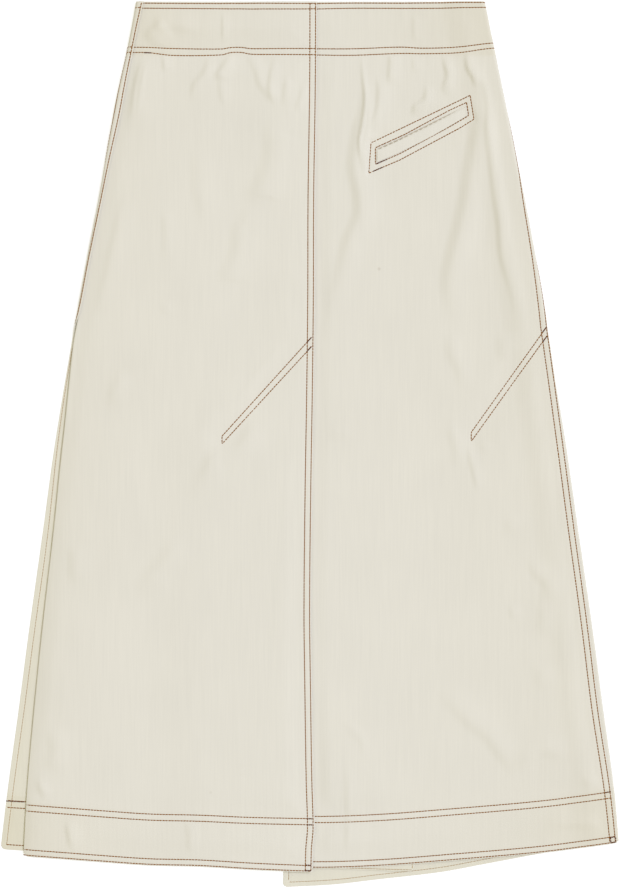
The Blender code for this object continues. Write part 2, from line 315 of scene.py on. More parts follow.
def creased(lines, flat, drop):
    """Height that the soft creases add, each fading out at both ends of its line."""
    total = np.zeros_like(flat)
    for crease in lines:
        knots = np.array(crease.path, float)
        order = np.arange(len(knots))
        along = np.linspace(0, order[-1], CREASE_STEPS * order[-1] + 1)
        path = np.stack([through(order, knots[:, k], along) for k in (0, 1)], -1)
        reach = crease.flank + 3 * crease.tail
        low, high = path.min(0) - reach, path.max(0) + reach
        near = (flat > low[0]) & (flat < high[0]) & (drop > low[1]) & (drop < high[1])
        x, y = flat[near], drop[near]
        nearest, share, over = np.full(x.shape, np.inf), np.zeros_like(x), np.zeros_like(x)
        for n, ((x0, y0), (x1, y1)) in enumerate(zip(path, path[1:])):
            run = math.hypot(x1 - x0, y1 - y0)
            at = np.clip(((x - x0) * (x1 - x0) + (y - y0) * (y1 - y0)) / run ** 2, 0.0, 1.0)
            away = np.hypot(x - mix(x0, x1, at), y - mix(y0, y1, at))
            aside = ((x - x0) * (y1 - y0) - (y - y0) * (x1 - x0)) / run
            closer = away < nearest
            share = np.where(closer, (n + at) / (len(path) - 1), share)
            over = np.where(closer, np.copysign(away, aside), over)
            nearest = np.minimum(away, nearest)
        swell = smooth(CREASE_END + CREASE_SWELLS * np.minimum(share, 1 - share))
        rise = smooth((over + crease.flank) / (2 * crease.flank))
        fall = np.exp(-(np.maximum(over - crease.flank, 0.0) / crease.tail) ** 2)
        total[near] += crease.height * swell * rise * fall
    return total


Groove = namedtuple("Groove", "depth at width")
ROW_GROOVE = Groove(0.2, 0.0, 1.3)  # what a row presses into both sides of the cloth
Bumps = namedtuple("Bumps", "height size starts")  # which set in this far from a row
UNEVEN = Bumps(0.8, (75.0, 120.0), Ramp(1.5, 22))  # soft unevenness of the open cloth
RIPPLE = Bumps(0.07, (14.0, 34.0), Ramp(0, 6))  # small ripples, longer down the grain
PUCKER = Bumps(0.16, (9.0, 9.0), Ramp(0, 3))  # puckers beside the rows
PUCKER_REACH = 11.0
CREASE_STARTS = Ramp(0, 4)
SETTLED = -0.3  # no trough goes lower than this, so that no ply meets the next

Panel = namedtuple("Panel", "name lie guides steps hem tuck loose creases rows tree loft corner seed")


def relief(panel, flat, drop):
    """How far the cloth lies off its plain form: swell, creases and puckers."""
    near = beside(panel.tree, flat, drop)
    loose = panel.loose(flat, drop)
    clear = ease(near, UNEVEN.starts) * loose
    soft = (panel.loft + UNEVEN.height * wander(panel.seed, UNEVEN.size, flat, drop)) * clear
    soft += RIPPLE.height * wander(panel.seed + 1, RIPPLE.size, flat, drop) * ease(near, RIPPLE.starts)
    soft += creased(panel.creases, flat, drop) * ease(near, CREASE_STARTS) * loose
    pucker = PUCKER.height * wander(panel.seed + 2, PUCKER.size, flat, drop)
    pucker *= np.exp(-(near / PUCKER_REACH) ** 2)
    return np.maximum(soft, SETTLED) + pucker * ease(near, PUCKER.starts)


def dip(groove, away):
    """How deep a groove is this far from the line that it is measured from."""
    return groove.depth * np.exp(-((away - groove.at) / groove.width) ** 2)


def pressed(panel, flat, drop):
    """How much thinner a row of stitches presses each side of the cloth."""
    return dip(ROW_GROOVE, beside(panel.tree, flat, drop))


def place(panel, flat, drop):
    across, height = panel.lie(flat, drop)
    return np.stack((across, LENGTH / 2 - drop, height), -1)


def facing(panel, flat, drop, step=0.3):
    """Direction of the panel's upper side, square to its cloth."""
    rightward = place(panel, flat + step, drop) - place(panel, flat - step, drop)
    downward = place(panel, flat, drop + step) - place(panel, flat, drop - step)
    out = np.cross(downward, rightward)
    return out / np.linalg.norm(out, axis=-1, keepdims=True)


def surface(panel, flat, drop):
    return place(panel, flat, drop) + facing(panel, flat, drop) * relief(panel, flat, drop)[..., None]


ROWS_DOWN = (  # rows of points: from, to and how many, measured on a cut of 880
    (0, 0.5, 3), (0.5, 11, 8), (11, 43, 12), (43, 57, 9), (57, 340, 116), (340, 824, 106),
    (824, 837, 8), (837, 869, 9), (869, 879.5, 8), (879.5, 880, 3),
)
CUT_LENGTH = 880.0
HEM_SHAPES = Ramp(400, 420)  # drops over which the rows of points take on the hem's curve
HEM_PASSES = 4  # passes until every point lies where its drop was read from the hem
EDGE_ROUND = 0.5  # over this far from an edge the cloth's thickness rounds off

# Each panel is a grid of points. Its columns are counted out between guides that run down the panel,
# its rows between fixed drops, and towards the hem the rows bend until the last one lies on it.


def bunched(share, first, last):
    """Steps that bunch up towards the rounded edge at either end."""
    if first:
        return share ** 2
    return 1 - (1 - share) ** 2 if last else share


def panel_grid(panel):
    """Flat place and drop of every point of a panel, with its last row on the hem."""
    shares = []
    for n, (start, end, count) in enumerate(ROWS_DOWN):
        share = np.arange(count) / count
        shares += list(mix(start, end, bunched(share, n == 0, n == len(ROWS_DOWN) - 1)))
    rows = np.array(shares + [CUT_LENGTH])[:, None]
    drop = np.repeat(rows, sum(panel.steps) + 1, 1)
    for _ in range(HEM_PASSES):
        edge, *between, end = panel.guides(drop)
        guides = [edge, edge + EDGE_ROUND, *between, end - EDGE_ROUND, end]
        flat, column = np.empty_like(drop), 0
        for n, count in enumerate(panel.steps):
            span = slice(column, column + count)
            share = bunched(np.arange(count) / count, n == 0, n == len(panel.steps) - 1)
            flat[:, span] = mix(guides[n][:, span], guides[n + 1][:, span], share)
            column += count
        flat[:, -1] = end[:, -1]
        across, _ = panel.lie(flat, drop)
        tuck = panel.tuck(flat, drop)
        inside = np.minimum(flat - edge, end - flat)
        cut = np.clip(panel.corner - inside, 0.0, panel.corner)
        clipped = panel.corner - np.sqrt(np.maximum(panel.corner ** 2 - cut ** 2, 0.0))
        hem = curve(panel.hem, "drop", across) - tuck - clipped
        drop = rows + (hem - CUT_LENGTH) * ease(rows, HEM_SHAPES)
    return flat, drop, inside, hem - drop


def add_object(name, data):
    made = bpy.data.objects.new(name, data)
    bpy.context.scene.collection.objects.link(made)
    return made


def add_piece(name, points, faces, finishes):
    """A smooth mesh object, from points in millimetres."""
    mesh = bpy.data.meshes.new(name)
    mesh.from_pydata((points * MM).tolist(), [], faces)
    for finish in finishes:
        mesh.materials.append(finish)
    mesh.shade_smooth()
    return add_object(name, mesh)


def rounded(inside, over):
    """Share of its full thickness that cloth has this far inside an edge that rounds off."""
    edge = np.clip(inside / over, 0.0, 1.0)
    return np.sqrt(edge * (2 - edge))


def shell(name, middle, out, half, finishes, shade_share):
    """A closed wall of cloth: a face on each side of its middle, meeting in the rounded edges."""
    rows, columns = half.shape
    outer = np.arange(rows * columns).reshape(rows, columns)
    inner = outer.copy()
    inner[1:-1, 1:-1] = rows * columns + np.arange((rows - 2) * (columns - 2)).reshape(rows - 2, -1)
    thick = out * half[..., None]
    points = np.concatenate(((middle + thick).reshape(-1, 3),
                             (middle - thick)[1:-1, 1:-1].reshape(-1, 3)))
    faces = []
    for index, order in ((outer, (0, 3, 2, 1)), (inner, (0, 1, 2, 3))):
        corners = (index[:-1, :-1], index[:-1, 1:], index[1:, 1:], index[1:, :-1])
        faces.append(np.stack([corners[k] for k in order], -1).reshape(-1, 4))
    piece = add_piece(name, points, np.concatenate(faces).tolist(), finishes)
    side = np.repeat((0, len(finishes) - 1), len(faces[0]))
    piece.data.polygons.foreach_set("material_index", side)
    # Painted shade: each point's share of the deeper colour, read by the cloth's material.
    backed = piece.data.attributes.new("backed", "FLOAT", "POINT")
    backed.data.foreach_set("value", np.concatenate((shade_share.ravel(), shade_share[1:-1, 1:-1].ravel())))
    return piece


# Turnings and facings back the cloth along the sides, the waist and the hem. Less light comes through it
# there, and this is painted into the cloth's colour: painted shade, which also deepens towards the sides.

FACING_ENDS = Ramp(54, 3)  # how wide the facings inside the waist and the hem are
RIM_REACH = 90.0  # how far in from the sides the deeper colour fades
UNFACED = 0.4  # its strength away from the facings


def make_panel(panel, finishes):
    """The panel's cloth, and the width, length and area of its flat cut in metres."""
    flat, drop, inside, above = panel_grid(panel)
    half = rounded(np.minimum(np.minimum(inside, drop), above), EDGE_ROUND)
    half = half * (CLOTH / 2 - pressed(panel, flat, drop))
    across, _ = panel.lie(flat, drop)
    rim = np.minimum(across + curve(SIDES, "left", drop),
                     curve(SIDES, "right", drop) - across)
    faced = 1 - ease(np.minimum(drop, above), FACING_ENDS)
    # Painted shade: deeper towards the sides, and strongest over the waist and hem facings.
    shade_share = np.exp(-np.maximum(rim, 0.0) / RIM_REACH) * mix(UNFACED, 1.0, faced)
    middle, out = surface(panel, flat, drop), facing(panel, flat, drop)
    piece = shell(panel.name, middle, out, half, finishes, shade_share)
    width = (flat[:-1, 1:] - flat[:-1, :-1] + flat[1:, 1:] - flat[1:, :-1]) / 2
    length = (drop[1:, :-1] - drop[:-1, :-1] + drop[1:, 1:] - drop[:-1, 1:]) / 2
    return piece, (np.ptp(flat) * MM, np.ptp(drop) * MM), (width * length).sum() * MM * MM


def plug(made, *values, **named):
    """Set sockets of a shader node, or feed them from another's, by their order or their names."""
    named = {name.replace("_", " "): value for name, value in named.items()}
    for place, value in (*enumerate(values), *named.items()):
        if isinstance(value, bpy.types.NodeSocket):
            made.id_data.links.new(value, made.inputs[place])
        else:
            made.inputs[place].default_value = value


def node(tree, kind, *values, mode=None, **named):
    made = tree.nodes.new("ShaderNode" + kind)
    if mode:
        setattr(made, *mode)
    plug(made, *values, **named)
    return made


def shader(name, **named):
    """A material with these settings, and its shader node."""
    shade = bpy.data.materials.new(name)
    shade.use_nodes = True
    principled = shade.node_tree.nodes["Principled BSDF"]
    plug(principled, **named)
    return shade, principled


FLECKS = ((70.2, 272.0), (-100.7, 804.0))  # bits of cotton husk left in the yarn
FLECK_HEIGHT = 5.0
FLECK_FADES = (0.44, 2.42)  # radii between which a fleck's colour fades
PAINTED_SHADE_DEEPER = (0.952, 0.937, 0.885)  # painted shade: what it takes from the cloth's colour where it is strongest


def twill(name, colour):
    """Undyed cotton twill: slubby warp yarns, a fine steep twill line, and a dry matt surface."""
    shade, cloth = shader(name, Roughness=0.9, Specular_IOR_Level=0.25, Sheen_Weight=0.08,
                          Sheen_Roughness=0.5)
    tree = shade.node_tree
    where = node(tree, "TexCoord").outputs["Object"]
    yarns = node(tree, "Mapping", Vector=where, Scale=(620.0, 17.0, 40.0)).outputs[0]
    slubs = node(tree, "TexNoise", Vector=yarns, Scale=1.0, Detail=3.0, Roughness=0.6)
    cloud = node(tree, "TexNoise", Vector=where, Scale=14.0, Detail=2.0)
    tone = node(tree, "MapRange", Value=slubs.outputs[0], From_Min=0.3, From_Max=0.7,
                To_Min=0.98, To_Max=1.018)
    patch = node(tree, "MapRange", Value=cloud.outputs[0], From_Min=0.3, From_Max=0.7,
                 To_Min=0.99, To_Max=1.01)
    uneven = node(tree, "Math", tone.outputs[0], patch.outputs[0], mode=("operation", "MULTIPLY"))
    # Painted shade: the colour is mixed towards a deeper copy by each point's backed share.
    backed = node(tree, "Attribute", mode=("attribute_name", "backed"))
    deeper = (*(c * d for c, d in zip(colour, PAINTED_SHADE_DEEPER)), 1.0)
    colour_and_shade = node(tree, "Mix", mode=("data_type", "RGBA"), Factor=backed.outputs["Fac"],
                A=(*colour, 1.0), B=deeper)
    colour_and_shade = node(tree, "VectorMath", colour_and_shade.outputs["Result"], mode=("operation", "SCALE"),
                Scale=uneven.outputs[0]).outputs[0]
    for across, drop in FLECKS:
        middle = (across * MM, (LENGTH / 2 - drop) * MM, FLECK_HEIGHT * MM)
        away = node(tree, "VectorMath", where, middle, mode=("operation", "DISTANCE"))
        inside = node(tree, "MapRange", Value=away.outputs["Value"], From_Min=FLECK_FADES[0] * MM,
                      From_Max=FLECK_FADES[1] * MM, To_Min=0.28, To_Max=0.0)
        colour_and_shade = node(tree, "Mix", mode=("data_type", "RGBA"), Factor=inside.outputs[0], A=colour_and_shade,
                    B=(0.36, 0.29, 0.2, 1.0)).outputs["Result"]
    steep = node(tree, "Mapping", Vector=where, Rotation=(0.0, 0.0, math.radians(27)))
    lines = node(tree, "TexWave", Vector=steep.outputs[0], Scale=290.0, Distortion=1.2, Detail=1.0)
    fuzz = node(tree, "TexNoise", Vector=where, Scale=1500.0, Detail=2.0)
    height = node(tree, "Mix", Factor=0.45, A=lines.outputs[1], B=fuzz.outputs[0])
    bump = node(tree, "Bump", Strength=0.35, Distance=0.12 * MM, Height=height.outputs[0])
    plug(cloth, Base_Color=colour_and_shade, Normal=bump.outputs[0])
    return shade


right_side = twill("cotton_twill", (0.70, 0.671, 0.588))
# The wrong side's colour is a little yellower than the right side's: partly the wrong side's own tone,
# partly painted shade for the flap that lies beside the left fold.
wrong_side_and_shade = twill("cotton_twill_inside", (0.70, 0.668, 0.556))

LEFT_ROWS_END = 859.0
FLAP_ROW_TOP = 1.6  # the facing's row on the vent's flap starts this far in from the edge
FLAP_ROW_MOVES = Ramp(375, 205)
FLAP_ROWS = (43.1, 50.1)  # up from the hem
FLAP_HEM_ROW = (5.2,)
FLAP_SHOWS = 40.0  # how far in from the flap's edge its rows are sewn
UNDERWRAP_ROW = 2.3  # the bobbin's row, in from the underlap's edge
UNDERWRAP_HEM_ROW = (1.7,)


def flap_row(drop):
    """The facing's row on the vent's flap, which starts out from the fold at the vent's top."""
    return front_left_edge(drop) + mix(FLAP_ROW_TOP, WRONG_SIDE_ROW, ease(drop, FLAP_ROW_MOVES))


under_back = off(front_left_edge, FLAP_SHOWS)
underwrap_end = off(underwrap_edge, -ROW_STOPS)
front_left_rows = (
    [Row(-1, down(off(front_left_edge, LEFT_LAP_ROWS[0]), ROW_TOP, LEFT_ROWS_END)),
     Row(-1, down(off(front_left_edge, LEFT_LAP_ROWS[1]), 46.0, LEFT_ROWS_END)),
     Row(1, down(flap_row, 352.0, LEFT_ROWS_END - 0.5), True),
     Row(1, down(off(underwrap_edge, -UNDERWRAP_ROW), 830.0, 882.5), True)]
    + vent_rows(-1, (-238.0, 335.0), (-147.5, 437.0), 8.0)
    + waist_rows(-1, left_axis, underwrap_end)
    + waist_rows(-1, off(front_left_edge, 1.5), left_axis, ("second", "third", "fourth"))
    + hem_rows(-1, FRONT_LEFT_HEM, off(front_left_edge, ROW_STOPS), underwrap_end)
    + hem_rows(1, FRONT_LEFT_HEM, off(front_left_edge, 2.5), under_back, FLAP_ROWS)
    + hem_rows(1, FRONT_LEFT_HEM, off(front_left_edge, WRONG_SIDE_ROW), under_back, FLAP_HEM_ROW)
    + hem_rows(1, FRONT_LEFT_HEM, lambda drop: 0.0, off(underwrap_edge, -UNDERWRAP_ROW),
               UNDERWRAP_HEM_ROW, True)
)


def front_left_guides(drop):
    """The lengthwise lines that the panel's columns of points run between."""
    edge, end, wrap = front_left_edge(drop), underwrap_edge(drop), front_lap_edge(drop)
    return [edge, edge + 10, left_axis(drop) + 26, wrap - 14, wrap - 3, end - 8, end]


def untucked(flat, drop):
    """A hem that is cut no shorter anywhere."""
    return 0.0


FRONT_LEFT_CREASES = creases(
    (0.8, 5, 12, (-60, 120), (-72, 190), (-95, 260)),
    (0.6, 4, 10, (-120, 80), (-126, 140), (-122, 190)),
    (0.7, 5, 13, (-150, 300), (-138, 380), (-142, 450)),
    (0.6, 3, 8, (-96, 62), (-104, 88), (-118, 104)),
    (0.7, 6, 13, (-60, 520), (-90, 560), (-135, 580)),
    (0.6, 5, 11, (-150, 700), (-120, 742), (-70, 752)),
)


OFF_LEFT_FOLD = Ramp(8, 20)  # across, from the fold
NEAR_WRAP = Ramp(-40, 24)  # and from the front right panel's edge


def front_left_loose(flat, drop):
    """1 over open cloth, easing to 0 at the fold and over the wrap, where plies lie close."""
    return (ease(flat - left_axis(drop), OFF_LEFT_FOLD)
            * (1 - ease(flat - front_lap_edge(drop), NEAR_WRAP)))


front_left = Panel(
    "front_left_cloth", front_left_lie, front_left_guides, (3, 12, 9, 42, 8, 22, 6, 3),
    FRONT_LEFT_HEM, untucked, front_left_loose, FRONT_LEFT_CREASES,
    front_left_rows, sewn(front_left_rows), loft=0.25, corner=5.5, seed=11)

cloth, cut, area = make_panel(front_left, (wrong_side_and_shade, right_side))
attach(cloth, "root")
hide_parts("front_left_panel")


# ---- Front right panel ------------------------------------
# The over half of the wrap front, cut from the same twill. It lies on the floor with the front left
# panel on it. Its front edge is folded in and sewn down, and its side edge goes up round the right
# fold, where the back right panel is lapped over it and sewn, with a wide underlap below the vent.

RIGHT_VENT_DROP = 330.0
RIGHT_FOLD_OPENS = Ramp(345, 120)  # drops
RIGHT_RADIUS_OPEN = 1.5  # it springs open more than the left one
RIGHT_SEAM = 4.0  # what a sewn seam takes beyond the fold
RISES_TO_FOLD = Ramp(-22, 12)  # across, from the fold's axis
RETURN_SINKS = Ramp(5, 15)  # across, beyond the fold
RETURN_TUCK = 3.0  # a folded-in return is cut this much shorter at the hem

FRONT_RIGHT_HEM = table(
    "across drop",
    (-27.5, 901.2), (25, 898.4), (69, 893.3), (132, 886), (176, 878), (235, 867), (295, 857.1),
    (315, 853.8),
)


def right_fold(drop):
    """Axis of the right fold, and the radii of the panel inside it and of the lap round it."""
    opened = ease(drop, RIGHT_FOLD_OPENS)
    inner = mix(FOLD_RADIUS_SEWN, RIGHT_RADIUS_OPEN, opened)
    axis = curve(SIDES, "right", drop) - WALL / 2 - inner - (1 - opened) * (PLY + FOLD_SLACK)
    return axis, inner, inner + PLY + FOLD_SLACK * (1 - opened)


def right_axis(drop):
    return right_fold(drop)[0]


def front_right_lie(flat, drop):
    axis, radius, _ = right_fold(drop)
    bottom = level(2) - 2 * radius
    past = np.maximum(flat - axis, 0.0)
    reach, height = turn(past, radius, bottom, 1)
    turned = height - PLY * ease(past - math.pi * radius, RETURN_SINKS)
    rest = mix(level(0), bottom, ease(flat - axis, RISES_TO_FOLD))
    return np.where(flat > axis, axis + reach, flat), np.where(flat > axis, turned, rest)


def front_right_guides(drop):
    edge = front_lap_edge(drop)
    axis, radius, _ = right_fold(drop)
    turned = axis + math.pi * radius
    end = turned + underlap(drop, RIGHT_VENT_DROP) - SEAM_UNDER + RIGHT_SEAM
    return [edge, edge + 10, axis - 24, axis, turned, end]


PAST_UNDERWRAP = Ramp(108, 20)
HELD_BY_FOLD = 26.0  # width kept flat beside the right fold
HELD_BY_VENT = 88.0  # and how much more of it beside the open vent
VENT_HOLDS = Ramp(320, 40)
NEAR_HELD = Ramp(-20, 20)


def front_right_loose(flat, drop):
    """1 over open cloth, easing to 0 under the other panels' edges."""
    held = right_axis(drop) - HELD_BY_FOLD - HELD_BY_VENT * ease(drop, VENT_HOLDS)
    return ease(flat, PAST_UNDERWRAP) * (1 - ease(flat - held, NEAR_HELD))


def tucked(axis, ramp):
    """How much shorter the hem is cut where a panel's edge is turned past this fold."""
    return lambda flat, drop: RETURN_TUCK * ease(abs(flat) - abs(axis(drop)), ramp)


EDGE_ROWS = (1.5, 7.2)  # rows down the front edge and the right lap, in from the edge
FRONT_ROWS_END = 896.0
CORNER_HEM_ROW = (4.8,)  # the bobbin's row at the corner that shows

front_row_start = off(front_lap_edge, ROW_STOPS)
front_right_rows = (
    [Row(-1, down(off(front_lap_edge, inset), ROW_TOP, FRONT_ROWS_END)) for inset in EDGE_ROWS]
    + [Row(1, down(off(front_lap_edge, WRONG_SIDE_ROW), 56.0, FRONT_ROWS_END - 1.5), True)]
    + waist_rows(-1, front_row_start, right_axis)
    + hem_rows(-1, FRONT_RIGHT_HEM, front_row_start, right_axis)
    + hem_rows(1, FRONT_RIGHT_HEM, off(front_lap_edge, WRONG_SIDE_ROW), right_axis, CORNER_HEM_ROW,
               True)
)
FRONT_RIGHT_CREASES = creases(
    (0.7, 5, 12, (140, 90), (136, 150), (142, 230)),
    (0.6, 4, 10, (176, 150), (172, 220), (160, 290)),
    (0.7, 6, 13, (130, 470), (150, 520), (148, 600)),
    (0.6, 5, 12, (120, 690), (160, 742), (196, 756)),
)
front_right = Panel(
    "front_right_cloth", front_right_lie, front_right_guides, (3, 10, 42, 10, 10, 14, 3),
    FRONT_RIGHT_HEM, tucked(right_axis, Ramp(5, 12)), front_right_loose, FRONT_RIGHT_CREASES,
    front_right_rows, sewn(front_right_rows), loft=0.25, corner=5.0, seed=23)

cloth, cut, area = make_panel(front_right, (wrong_side_and_shade, right_side))
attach(cloth, "root")
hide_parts("front_right_panel")


# ---- Back right panel -------------------------------------
# The right half of the back, of the same twill with its right side up. Its side edge is lapped over
# the front right panel and goes round the right fold above the hip. A slanted welt pocket is cut
# into it below the waist facing, and its centre edge runs on under the back left panel.

BACK_VENT_DROP = 340.0
back_lap_edge = follow(table(  # folded edge of the back left panel's lap
    "drop across",
    (0, 7), (90, 6.6), (200, 5), (300, 4.7), (400, 3.6), (500, 2), (620, 0.9), (700, 1.8), (790, 3.1),
    (840, 4.4), (862, 2.7), (885, 2.2),
))
BACK_RIGHT_HEM = table(
    "across drop",
    (-90, 879.5), (8, 881.8), (71, 879.7), (138, 874.6), (236, 866), (301, 857.3), (317, 854.5),
)
BACK_RIGHT_HEM_ROWS = (1.4, 7.0, 46.8, 53.1)
POCKET_OUTER = (  # the two rows round the pocket, which bow down a little
    (62.0, 143.8), (162.8, 95.5), (166.7, 119.8), (152.5, 128.6), (91.5, 161.1), (59.8, 174.6),
)
POCKET_INNER = (
    (66.5, 148.8), (96.5, 135.2), (142.4, 110.4), (159.2, 102.7), (161.3, 116.1), (142.4, 127.1),
    (91.5, 154.7), (66.5, 165.6),
)
POCKET_MOUTH = ((67.5, 150.4), (159.5, 105.0))  # the opening, just below the inner upper row
POCKET_BOW = 1.2  # how far the opening bows down in the middle
MOUTH_ENDS = (Ramp(0, 0.04), Ramp(0, 0.3))  # shares of its length over which its ends close
MOUTH_DIP = Groove(0.5, -0.9, 0.7)  # how it dips below the panel
LIP_HEIGHT = 0.55  # how far the pocket's upper lip stands up, just above it
LIP_RISES, LIP_FALLS = Ramp(-0.4, 0.8), Ramp(1.0, 4.5)
LAP_DITCH = Groove(0.44, 0.5, 0.9)  # what the centre lap's edge presses into this panel


def inside_corners(corners, flat, drop):
    """Distance inside a shape with these corners, below zero outside it."""
    sides = []
    for (x0, y0), (x1, y1) in zip(corners, corners[1:] + corners[:1]):
        sides.append(((x1 - x0) * (drop - y0) - (y1 - y0) * (flat - x0)) / math.hypot(x1 - x0, y1 - y0))
    return np.min(sides, axis=0)


def bow(share, middle):
    """A flat arch over a share from 0 to 1, this high in the middle."""
    share = np.clip(share, 0.0, 1.0)
    return 4 * middle * share * (1 - share)


def pocket_mouth(flat, drop):
    """Height of the raised upper lip of the pocket and of the dip of its opening."""
    (x0, y0), (x1, y1) = POCKET_MOUTH
    length = math.hypot(x1 - x0, y1 - y0)
    along = ((flat - x0) * (x1 - x0) + (drop - y0) * (y1 - y0)) / length ** 2
    above = ((flat - x0) * (y1 - y0) - (drop - y0) * (x1 - x0)) / length + bow(along, POCKET_BOW)
    ends = ease(along, MOUTH_ENDS[0]) * ease(1 - along, MOUTH_ENDS[1])
    lip = LIP_HEIGHT * ease(above, LIP_RISES) * (1 - ease(above, LIP_FALLS))
    return ends * (lip - dip(MOUTH_DIP, above))


NEAR_RIGHT_FOLD = Ramp(20, 25)


def back_right_lie(flat, drop):
    axis, inner, radius = right_fold(drop)
    top = level(2) + 2 * (radius - inner) - PLY
    past = np.maximum(flat - axis, 0.0)
    reach, height = turn(past, radius, top, -1)
    rest = (mix(level(2), top, 1 - ease(axis - flat, NEAR_RIGHT_FOLD)) + pocket_mouth(flat, drop)
            - dip(LAP_DITCH, flat - back_lap_edge(drop)))
    return np.where(flat > axis, axis + reach, flat), np.where(flat > axis, height, rest)


def back_right_edge(drop):
    return right_axis(drop) + curve(LAPS, "right_lap", drop)


def back_right_guides(drop):
    lap, edge = back_lap_edge(drop), back_right_edge(drop)
    return [lap - underlap(drop, BACK_VENT_DROP), lap - 2, lap + 12, edge - 34, edge - 14, edge]


OFF_LAP = Ramp(3, 15)  # across, from the centre lap's edge
OFF_RIGHT_FOLD = Ramp(6, 15)
ON_POCKET = Ramp(-3, 6)
POCKET_HOLDS = 0.85  # share of the looseness that the pocket takes away


def back_right_loose(flat, drop):
    """1 over open cloth, easing to 0 under the centre lap, at the right fold and on the pocket."""
    held = POCKET_HOLDS * ease(inside_corners(POCKET_OUTER, flat, drop), ON_POCKET)
    return (ease(flat - back_lap_edge(drop), OFF_LAP) * ease(right_axis(drop) - flat, OFF_RIGHT_FOLD)
            * (1 - held))


RIGHT_ROWS_END = 855.0
back_right_end = off(back_right_edge, -ROW_STOPS)
back_right_rows = (
    [Row(1, down(off(back_right_edge, -inset), ROW_TOP, RIGHT_ROWS_END)) for inset in EDGE_ROWS]
    + [Row(1, straight(*corners, corners[0])) for corners in (POCKET_OUTER, POCKET_INNER)]
    + vent_rows(1, (240.8, 330.5), (164.0, 438.1), 9.2)
    + waist_rows(1, off(back_lap_edge, -1.5), back_right_end)
    + hem_rows(1, BACK_RIGHT_HEM, off(back_lap_edge, 0.4), back_right_end, BACK_RIGHT_HEM_ROWS)
)
BACK_RIGHT_CREASES = creases(
    (2.5, 6, 14, (53.2, 50), (55.1, 84.7), (52.4, 108), (46.9, 128), (42.5, 151.5), (41.4, 171),
     (46, 196), (45.9, 218), (36, 240), (30, 265), (22, 295), (15, 325)),
    (1.8, 1.8, 2.6, (50, 52), (53, 78), (54.6, 100), (52.2, 124), (49, 142), (50.6, 160), (54, 176)),
    (0.9, 1.5, 3.2, (57.7, 78.8), (58.7, 100), (57.7, 120), (55.7, 134), (53.7, 151), (57.7, 177),
     (62.5, 184)),
    (1.5, 2.6, 9, (67.5, 74.8), (68.5, 88.6), (67.5, 106.3), (63.6, 120.1), (58.7, 130)),
    (1.4, 2.5, 8, (80.6, 52), (80.3, 61.1), (79.3, 74.8), (78.3, 84.7)),
    (1.8, 2.4, 8, (134, 54), (136.3, 65), (138.3, 74.8), (135.4, 84.7), (131.4, 90.6)),
    (2, 2.4, 7, (117.7, 84), (115.6, 98.4), (105.9, 106.3), (101.9, 116.1)),
    (1.8, 2.6, 7, (158, 50), (158.9, 67), (164.9, 78.8), (166.8, 88.7)),
    (3.2, 7, 14, (168.4, 96), (167.8, 112), (166.8, 128), (162.8, 148), (157.9, 177), (155, 199),
     (149, 226), (145, 242), (140, 262), (136, 285), (139, 309), (142, 332)),
    (1.8, 3.4, 8, (170, 58), (172.7, 72.9), (176.6, 88.7), (180, 108), (178.6, 128), (180.5, 151),
     (183.5, 175), (186.4, 199), (190.4, 226), (193, 258), (200, 285), (206, 309), (208, 332)),
    (0.9, 3, 8, (200.2, 177.1), (204, 190), (208.1, 204.6)),
    (1, 5, 10, (142.2, 334.1), (140, 355.8), (149.8, 377.6), (145.4, 390.6)),
    (1, 5, 10, (142.2, 427.6), (142.2, 442.9), (146.5, 455.9), (142.2, 473.4)),
    (0.9, 1.8, 6, (159.6, 451.6), (161.8, 464.7), (166.1, 484.3), (170.4, 499.4)),
    (0.6, 1.8, 5, (170.4, 453.8), (178, 456), (185.7, 458.1)),
    (1.2, 6, 12, (194.4, 334.1), (192.2, 355.8), (196.6, 366.7)),
    (1.3, 4.5, 11, (218.3, 569), (229.2, 584.3), (238, 595.2), (229.2, 608.2)),
    (0.9, 2.5, 7, (207.5, 610.5), (203.1, 623.5), (216.2, 625.6)),
    (1.1, 6, 10, (232, 608), (234, 626), (230, 644)),
    (0.8, 6, 12, (196.6, 525.6), (200, 534), (203.1, 542.9)),
    (0.6, 1.8, 6, (18.1, 442.9), (30, 441.5), (42.1, 440.7)),
    (1.4, 5.5, 14, (122.5, 700), (142.2, 717.5), (161.8, 737.1), (177, 748), (190, 765), (201, 778),
     (205.3, 791.5)),
    (1.8, 5, 12, (207.5, 780.6), (224.8, 771.9), (240.1, 765.3), (261.9, 769.7)),
    (0.9, 2.5, 6, (279.3, 800.1), (287, 796), (294.5, 793.6)),
    (1.1, 3, 8, (235.7, 839.3), (268, 838.5), (299, 839.3)),
    (0.8, 1.8, 8, (35.5, 774), (36.6, 804.5), (36.6, 843.6), (35.5, 867.6)),
    (0.6, 1.8, 6, (29, 730.5), (42.1, 743.6), (50.7, 752.2), (53, 769.7)),
    (0.6, 1.3, 7, (104.8, 12), (104.7, 27), (104.7, 43)),
    (0.6, 1.3, 7, (104.6, 56), (104.4, 64), (104.6, 72)),
    (0.8, 6, 12, (227, 673.9), (230, 687), (231.3, 700)),
)
back_right = Panel(
    "back_right_cloth", back_right_lie, back_right_guides, (3, 10, 10, 108, 12, 12, 3),
    BACK_RIGHT_HEM, untucked, back_right_loose, BACK_RIGHT_CREASES,
    back_right_rows, sewn(back_right_rows), loft=0.9, corner=0.8, seed=37)

cloth, cut, area = make_panel(back_right, (right_side, wrong_side_and_shade))
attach(cloth, "root")
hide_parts("back_right_panel")


# ---- Pocket welt ------------------------------------------
# A narrow folded strip of the same twill that closes the slanted pocket. It is sewn down along its
# lower edge and both ends, and its upper edge lies open against the panel's lip.

